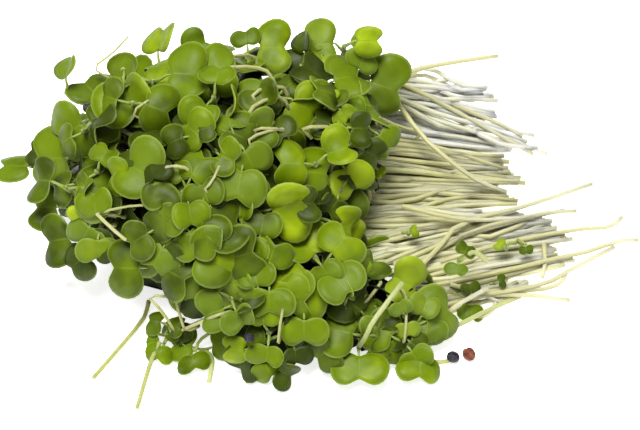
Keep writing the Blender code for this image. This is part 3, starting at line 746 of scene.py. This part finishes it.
# The stems over the heap and between its leaves: places in the picture, how pale, radius in millimetres
heapStems = (
    (((229, 60), (253, 58)), 0.5, 0.55), (((229, 70), (252, 69), (268, 74)), 0.5, 0.6),
    (((253, 95), (280, 88)), 0.3, 0.6), (((248, 117), (257, 105), (280, 98)), 0.6, 0.6),
    (((255, 130), (282, 131)), 0.6, 0.45), (((248, 142), (261, 134), (284, 130)), 0.5, 0.45),
    (((303, 129), (332, 128)), 0.7, 0.55), (((312, 78), (327, 74)), 0.6, 0.6),
    (((164, 169), (183, 167)), 0.4, 0.5), (((134, 114), (155, 100)), 0.5, 0.4),
    (((98, 213), (112, 227), (128, 240)), 1.0, 0.5), (((104, 212), (141, 205)), 0.1, 0.35),
    (((286, 298), (281, 318), (278, 343)), 0.3, 0.42), (((405, 296), (406, 318), (404, 342)), 0.3, 0.42),
    (((380, 286), (362, 304)), 0.5, 0.5), (((96, 70), (114, 54), (129, 38)), -0.2, 0.3),
    (((220, 166), (212, 182), (205, 190)), 0.3, 0.4), (((376, 118), (400, 128), (420, 132)), 0.4, 0.5),
    (((150, 296), (164, 312), (176, 330)), 0.1, 0.45), (((177, 300), (181, 316), (187, 330)), -0.2, 0.42),
    (((183, 330), (208, 319), (222, 314)), 0.5, 0.5), (((330, 106), (346, 108)), 0.8, 0.5),
)
heapStemShape = {"lift": 0.4, "rooted": 0.85, "radius": 0.85, "tipRadius": 0.3, "pale": 0.5, "tone": 0.8}
for places, pale, radius in heapStems:
    points = []
    for across, down in places:
        point, outwards = onHeap(across, down)
        points.append(point + outwards * heapStemShape["lift"] * mm)
    points = [heartOfHeap(points[0]).lerp(points[0], heapStemShape["rooted"]), *points]
    if radius > heapStemShape["tipRadius"]:  # the thin one is a leaf tip, and ends in the air
        points.append(heartOfHeap(points[-1]).lerp(points[-1], heapStemShape["rooted"]))
    look = {"pale": pale * heapStemShape["pale"], "tone": heapStemShape["tone"]}
    size = radius * heapStemShape["radius"] * mm
    stem = addTube(tubeMaster, points, size, stemFinish, look, (1, 0.9))
    leafParts[tuftOf(points[1])].append(stem)

# The sheaves of cut stems. Each bundle runs from a line of roots to a line of ends, as pixels and height,
# then come how many, how deep, and how pale at the root, how pale at the end and how shaded
bundles = {
    "stem_sheaf_back": (
        ((400, 76, 21), (396, 94, 18), (474, 87, 13), (484, 100, 10), 17, 4, (1.15, 2.0, 0.1)),
        ((398, 86, 19), (396, 102, 17), (482, 110, 9), (490, 119, 8), 13, 4, (1.15, 2.0, 0.1)),
        ((400, 90, 18), (404, 112, 15), (518, 133, 5), (533, 153, 3), 8, 3, (1.15, 2.0, 0.1)),
        ((372, 112, 16), (370, 140, 14), (482, 139, 6), (499, 150, 4.5), 48, 6, (1.15, 2.0, 0.1)),
    ),
    "stem_sheaf_middle": (
        ((364, 142, 15), (352, 178, 12), (492, 157, 6), (515, 182, 4), 74, 7, (0.45, 1.25, 1.25)),
        ((346, 180, 13), (346, 216, 10), (484, 187, 5), (508, 203, 3.5), 72, 6, (0.45, 1.25, 1.25)),
    ),
    "stem_sheaf_front": (
        ((350, 212, 9.5), (362, 246, 8), (500, 212, 4), (542, 222, 3), 52, 5, (0.5, 1.5, 0.85)),
        ((356, 242, 8.5), (384, 276, 6.5), (530, 218, 3.5), (562, 238, 2.5), 52, 4, (0.5, 1.5, 0.85)),
        ((398, 264, 7), (418, 298, 4), (538, 244, 2.4), (568, 264, 1.2), 38, 2.5, (0.5, 1.5, 0.85)),
        ((414, 296, 4), (432, 318, 3), (500, 276, 2), (545, 288, 1), 18, 1.5, (0.5, 1.5, 0.85)),
    ),
}
sheafShape = {
    "radius": (0.58, 0.74),
    "longRadius": 0.6,
    "loneRadius": 0.6,
    "lowest": 0.8,
    "rootShift": (-6, 4),
    "endShift": (-30, 14),
    "crossing": 0.22,
    "sagAside": 1.5,
    "sagUpwards": (-1.0, 1.8),
    "taper": (1, 0.85),
}
longStems = {  # the long ones that show, as places along each
    "stem_sheaf_back": (
        ((402, 88, 18), (440, 100, 14), (500, 124, 8), (522, 137, 5)),
        ((400, 82, 20), (450, 108, 13), (533, 154, 3)),
    ),
    "stem_sheaf_middle": (
        ((397, 102, 20), (424, 138, 17.5), (454, 164, 14), (478, 181, 9), (506, 192, 5)),
        ((402, 206, 12), (442, 216, 10), (479, 220, 8), (534, 217, 5)),
    ),
    "stem_sheaf_front": (
        ((417, 270, 8), (440, 246, 8.5), (462, 223, 8), (526, 206, 5), (592, 184, 2)),
        ((420, 262, 7), (470, 232, 7), (540, 214, 5), (576, 211, 2.5)),
        ((400, 262, 8), (462, 236, 7), (520, 220, 5), (564, 210, 3)),
        ((440, 262, 6), (500, 244, 5), (572, 230, 3), (609, 227, 2.2), (622, 217, 2)),
        ((430, 286, 5), (500, 272, 4), (548, 260, 3), (590, 251, 2), (618, 241, 1.4), (638, 240, 1)),
        ((436, 300, 4), (500, 292, 3.4), (544, 284, 2.4), (572, 269, 1.6), (614, 247, 1)),
        ((440, 300, 4), (489, 291, 3), (535, 290, 2), (559, 284, 1.4), (566, 273, 1)),
        ((446, 296, 4), (520, 295, 2), (570, 300, 0.9)), ((450, 284, 5), (479, 293, 3.4), (503, 304, 1)),
        ((431, 328, 4), (453, 308, 6), (487, 288, 6)), ((544, 244, 3.5), (545, 262, 2.4), (542, 278, 1.4)),
        ((468, 318, 1.2), (483, 316, 1.2), (492, 310, 1.4), (496, 302, 1.6)),
        ((412, 346, 5), (418, 356, 3), (432, 362, 1.4), (449, 361, 0.9)),
    ),
}


def alongStem(start, whitest):  # pale value along a stem, from its root to its cut end
    return lambda t: start + (whitest - start) * np.minimum(t * 1.15, 1) ** 0.8


def between(first, second, share):
    return [a + (b - a) * share for a, b in zip(first, second)]


def addBundle(node, rootTop, rootLow, endTop, endLow, count, depth, pales):
    startPale, endPale, shade = pales
    for i in range(count):
        share = (i + chance.uniform(0, 1)) / count
        drop = depth * chance.uniform(0, 1)
        root = between(rootTop, rootLow, share)
        endShare = share + chance.gauss(0, sheafShape["crossing"])
        end = between(endTop, endLow, min(1.05, max(-0.05, endShare)))
        rootAcross = root[0] + chance.uniform(*sheafShape["rootShift"])
        start = atHeight(rootAcross, root[1], max(1.5, root[2] - drop))
        endAcross = end[0] + chance.uniform(*sheafShape["endShift"])
        finish = atHeight(endAcross, end[1], max(sheafShape["lowest"], end[2] - drop * 0.4))
        aside = chance.gauss(0, sheafShape["sagAside"])
        sag = Vector((0, aside, chance.uniform(*sheafShape["sagUpwards"]))) * mm
        early = start.lerp(finish, 0.33) + sag
        late = start.lerp(finish, 0.68) + sag * chance.uniform(-1, 1)
        points = [start, early, late, finish]
        for point in points:
            point.z = max(point.z, sheafShape["lowest"] * mm)
        # Painted light: the stems lower in the bundle are paler and the top ones more shaded, to soften their
        # shadows and highlights
        hidden = drop / depth
        rootPale = startPale + 0.5 * hidden + chance.uniform(-0.2, 0.2)
        look = {
            "pale": alongStem(rootPale, endPale + chance.uniform(-0.4, 0.2)),
            "tone": chance.uniform(-0.2, shade) + 0.4 - 0.6 * hidden,
        }
        size = chance.uniform(*sheafShape["radius"]) * mm
        stem = addTube(tubeMaster, points, size, stemFinish, look, sheafShape["taper"])
        stemParts.setdefault(node, []).append(stem)


for node, rows in bundles.items():
    for row in rows:
        addBundle(node, *row)
for node, stems in longStems.items():
    for places in stems:
        points = [atHeight(*place) for place in places]
        look = {"pale": 0.5 if places[0][1] > 340 else alongStem(0.8, 1.5), "tone": 1.1}
        size = sheafShape["longRadius"] * mm
        stemParts[node].append(addTube(tubeMaster, points, size, stemFinish, look, sheafShape["taper"]))
print("sheaves", {node: len(parts) for node, parts in stemParts.items()})

# Stems and seedlings that lie apart
loneStems = {
    "lone_stem_left_long": ((149, 300, 3.4), (146, 312, 1.8), (138, 326, 1.0), (93, 378, 1.0)),
    "lone_stem_left_short": ((160, 342, 3.0), (150, 364, 1.2), (137, 408, 1.0)),
    "lone_stem_back": ((396, 84, 20), (410, 71, 19.8), (455, 62, 18.5), (498, 56, 17)),
}
for node, places in loneStems.items():
    pale = 1.2 if node.endswith("back") else 0.1
    points = [atHeight(*place) for place in places]
    look = {"pale": pale, "tone": 0.7}
    stemParts[node] = [addTube(tubeMaster, points, sheafShape["loneRadius"] * mm, stemFinish, look, (1, 0.8))]
loneSeedlings = {
    "seedling_left_front": ((184, 345, 2.5), 170, 40, ((212, 360, 1.4), (209, 382, 1.0)), 0.5),
    "seedling_front": ((359, 367, 4.5), -90, 56, ((365, 338, 10), (374, 320, 13.5), (402, 283, 16)), 0.5),
    "seedling_front_right": (
        (420, 368, 3.4), -90, 44, ((428, 346, 3.6), (442, 334, 4.2), (486, 311, 1.8), (520, 296, 1.0)), 0.55,
    ),
    "seedling_on_stems": ((457, 269, 14.5), -104, 24, ((474, 252, 15), (488, 262, 13)), 0.35),
}
for node, (place, turn, pixels, places, tone) in loneSeedlings.items():
    width = pixels / view["pixelsPerMetre"]
    normal = (toEye * 0.5 + Vector((0, 0, 1))).normalized()
    head = (atHeight(*place), normal, pictureWay(turn), width, tone, bladeMaster)
    joint = addHead(node + "_leaves", *head, stem=False, fold=0.1)
    points = [joint, *[atHeight(*spot) for spot in places]]
    look = {"pale": alongStem(0.15, 0.55), "tone": 0.3}
    stemParts[node + "_stem"] = [addTube(tubeMaster, points, sheafShape["loneRadius"] * mm, stemFinish, look)]

# Small heads that stand by the lone seedling at the left front, and small leaves caught among the stems, each
# under the node whose piece it joins
looseShape = {"stemRadius": 0.42, "pairedFrom": 22}
looseHeads = {
    "seedling_left_front_leaves": (
        ((155, 321, 6.5), 170, 27, 0.35, ((172, 331, 5), (190, 326, 5), (212, 316, 6))),
        ((152, 335, 3.5), 190, 24, 0.5, ((166, 334, 3.5), (180, 330, 4), (200, 325, 5))),
        ((160, 354, 1.6), -110, 28, 0.55, ((166, 340, 2.5), (178, 331, 3.5), (184, 318, 5))),
        ((194, 364, 1.8), -70, 34, 0.3, ((196, 350, 2.5), (200, 340, 3), (218, 328, 5))),
    ),
    "leaf_tuft_front_right": (
        ((471, 311, 2.5), -90, 27, 0.35, ((466, 300, 3.5), (452, 292, 4.5))),
    ),
    "seedling_on_stems_leaves": (
        ((500, 245, 8.5), 150, 15, 0.9, ((508, 244, 7), (516, 243, 6))),
        ((526, 250, 6.5), -80, 16, 0.2, ((523, 243, 6), (518, 240, 5))),
        ((502, 281, 5.5), 10, 15, 0.1, ((496, 283, 4.5), (490, 284, 4))),
    ),
    "leaf_tuft_right_middle": (
        ((414, 231, 12), 20, 13, 0.6, ((410, 232, 10.5), (402, 233, 9.5))),
        ((380, 173, 18), -50, 15, 0.8, ((376, 170, 16), (370, 168, 15))),
    ),
}
for node, heads in looseHeads.items():
    for place, turn, pixels, tone, places in heads:
        width = pixels / view["pixelsPerMetre"]
        normal = (toEye * 0.7 + Vector((chance.uniform(-0.3, 0.3), 0, 0.6))).normalized()
        head = (atHeight(*place), normal, pictureWay(turn), width, tone, plainBladeMaster)
        joint = addHead(node, *head, sibling=pixels > looseShape["pairedFrom"], stem=False)
        points = [joint, *[atHeight(*spot) for spot in places]]
        look = {"pale": 0.2, "tone": 0.3}
        leafParts[node].append(addTube(tubeMaster, points, looseShape["stemRadius"] * mm, stemFinish, look))
print("loose heads", sum(len(heads) for heads in looseHeads.values()))


# The copies become one piece for each node
def joinAll(parts):
    deselectAll()
    for part in parts:
        part.select_set(True)
    bpy.context.view_layer.objects.active = parts[0]
    bpy.ops.object.join()
    return bpy.context.object


def joinPiece(name, parts, node):
    piece = joinAll(parts)
    piece.name = piece.data.name = name
    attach(piece, "root")
    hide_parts(node)
    return piece


def plainName(node):  # leaf_tuft_back becomes leafTuftBack
    words = node.split("_")
    return words[0] + "".join(word.capitalize() for word in words[1:])


for node, parts in leafParts.items():
    joinPiece(plainName(node) + "Fine", parts, node)
for node, parts in stemParts.items():
    joinPiece(plainName(node) + "Fine", parts, node)

# The inside of the heap, painted near-black green as the shade between the leaves
insideShape = {"share": 0.62, "roughen": 1.2 * mm, "lowest": 0.4 * mm}
insideParts = []
for centre, radii in lobes.values():
    deselectAll()
    bpy.ops.mesh.primitive_ico_sphere_add(subdivisions=4, radius=1, location=Vector(centre) * mm)
    lump = bpy.context.object
    lump.scale = [radius * insideShape["share"] * mm for radius in radii]
    bpy.ops.object.transform_apply(location=True, rotation=True, scale=True)
    for vertex in lump.data.vertices:
        vertex.co += vertex.normal * chance.uniform(-1, 1) * insideShape["roughen"]
        vertex.co.z = max(vertex.co.z, insideShape["lowest"])
    insideParts.append(lump)
inside = joinAll(insideParts)
inside.name = "heapInsideShade"
inside.data.materials.append(insideShadeFinish)
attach(inside, "root")

# Seed hulls: a split, wrinkled shell each, two on the table and some caught among the leaves
hullShape = {"cleft": 0.42, "cleftWidth": 0.09, "wrinkle": 0.035, "fineWrinkle": 0.02, "ragged": 0.16}
hulls = {
    "seed_hull_black": ((453, 357, 1.5), 3.0, 2.6, 70, blackHull, "hull_black"),
    "seed_hull_brown": ((469, 354, 1.5), 3.3, 2.8, 25, brownHull, "hull_brown"),
}


def makeHull(name, centre, length, width, turn, finish):
    deselectAll()
    bpy.ops.mesh.primitive_ico_sphere_add(subdivisions=4, radius=0.5, location=(0, 0, 0))
    hull = bpy.context.object
    spin = Matrix.Rotation(math.radians(turn), 3, "Z")
    for vertex in hull.data.vertices:
        x, y, z = vertex.co
        opening = max(0.0, z + 0.1) * max(0.0, 0.35 + y)  # the split runs over the top to one end
        groove = 1 - hullShape["cleft"] * math.exp(-(x / hullShape["cleftWidth"]) ** 2) * opening * 2
        dimple = 1 + hullShape["wrinkle"] * math.sin(x * 19 + y * 7) * math.sin(z * 17 + 1)
        dimple += hullShape["fineWrinkle"] * math.sin(y * 31 + z * 23)
        torn = 1 + hullShape["ragged"] * max(0.0, y - 0.3) * math.sin(math.atan2(z, x) * 5)
        vertex.co = spin @ Vector((x * width, y * length, z * width)) * groove * dimple * torn * mm
    hull.location = centre
    bpy.ops.object.transform_apply(location=True, rotation=True, scale=True)
    bpy.ops.object.shade_smooth()
    hull.data.materials.append(finish)
    hull.name = name
    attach(hull, "root")
    return hull


for node, (place, length, width, turn, finish, slot) in hulls.items():
    hull = makeHull(plainName(node) + "Fine", atHeight(*place), length, width, turn, finish)
    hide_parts(node)
caughtHulls = {"places": ((93, 113), (358, 283), (251, 335)), "length": 2.4, "width": 2.1, "turn": 40}
for index, (across, down) in enumerate(caughtHulls["places"]):
    point, outwards = onHeap(across, down)
    centre, turn = point + outwards * 2 * mm, caughtHulls["turn"] * index
    size = (caughtHulls["length"], caughtHulls["width"])
    makeHull("hullCaught" + str(index + 1), centre, *size, turn, blackHull)

for master in masters:
    bpy.data.objects.remove(master)
print("pieces joined")

# Table, light and camera
studio = {
    "floor": 3.0,
    "floorDrop": 0.0002,
    "floorColour": (0.93, 0.93, 0.93, 1),
    "glow": 0.72,
    "sky": 0.36,
    "key": 11.9,
    "keyPlace": (-0.12, -0.12, 0.85),
    "keySize": 0.4,
    "sensor": 36,
}
white = (1, 1, 1, 1)
deselectAll()
bpy.ops.mesh.primitive_plane_add(size=studio["floor"], location=(0, 0, -studio["floorDrop"]))
floor = bpy.context.object
floor.name = "tableTop"
floorFinish = Finish("tableWhite", 0.9, Specular_IOR_Level=0.1)
floorFinish.shader.inputs["Base Color"].default_value = studio["floorColour"]
floorFinish.shader.inputs["Emission Color"].default_value = white
floorFinish.shader.inputs["Emission Strength"].default_value = studio["glow"]
floor.data.materials.append(floorFinish.material)

world = bpy.data.worlds.new("studio")
world.use_nodes = True
sky = world.node_tree.nodes["Background"]
sky.inputs["Color"].default_value = white
sky.inputs["Strength"].default_value = studio["sky"]
bpy.context.scene.world = world
lamp = bpy.data.lights.new("softKey", "AREA")
lamp.size, lamp.energy = studio["keySize"], studio["key"]
lampObject = bpy.data.objects.new("softKey", lamp)
bpy.context.scene.collection.objects.link(lampObject)
lampObject.location = studio["keyPlace"]
lampObject.rotation_euler = (view["aim"] - Vector(studio["keyPlace"])).to_track_quat("-Z", "Y").to_euler()

camera = bpy.data.cameras.new("view")
camera.sensor_width = studio["sensor"]
camera.lens = focalPixels * studio["sensor"] / view["width"]
cameraObject = bpy.data.objects.new("view", camera)
bpy.context.scene.collection.objects.link(cameraObject)
cameraObject.location = eye
cameraObject.rotation_euler = toEye.to_track_quat("Z", "Y").to_euler()
bpy.context.scene.camera = cameraObject
bpy.context.scene.view_settings.view_transform = "Standard"
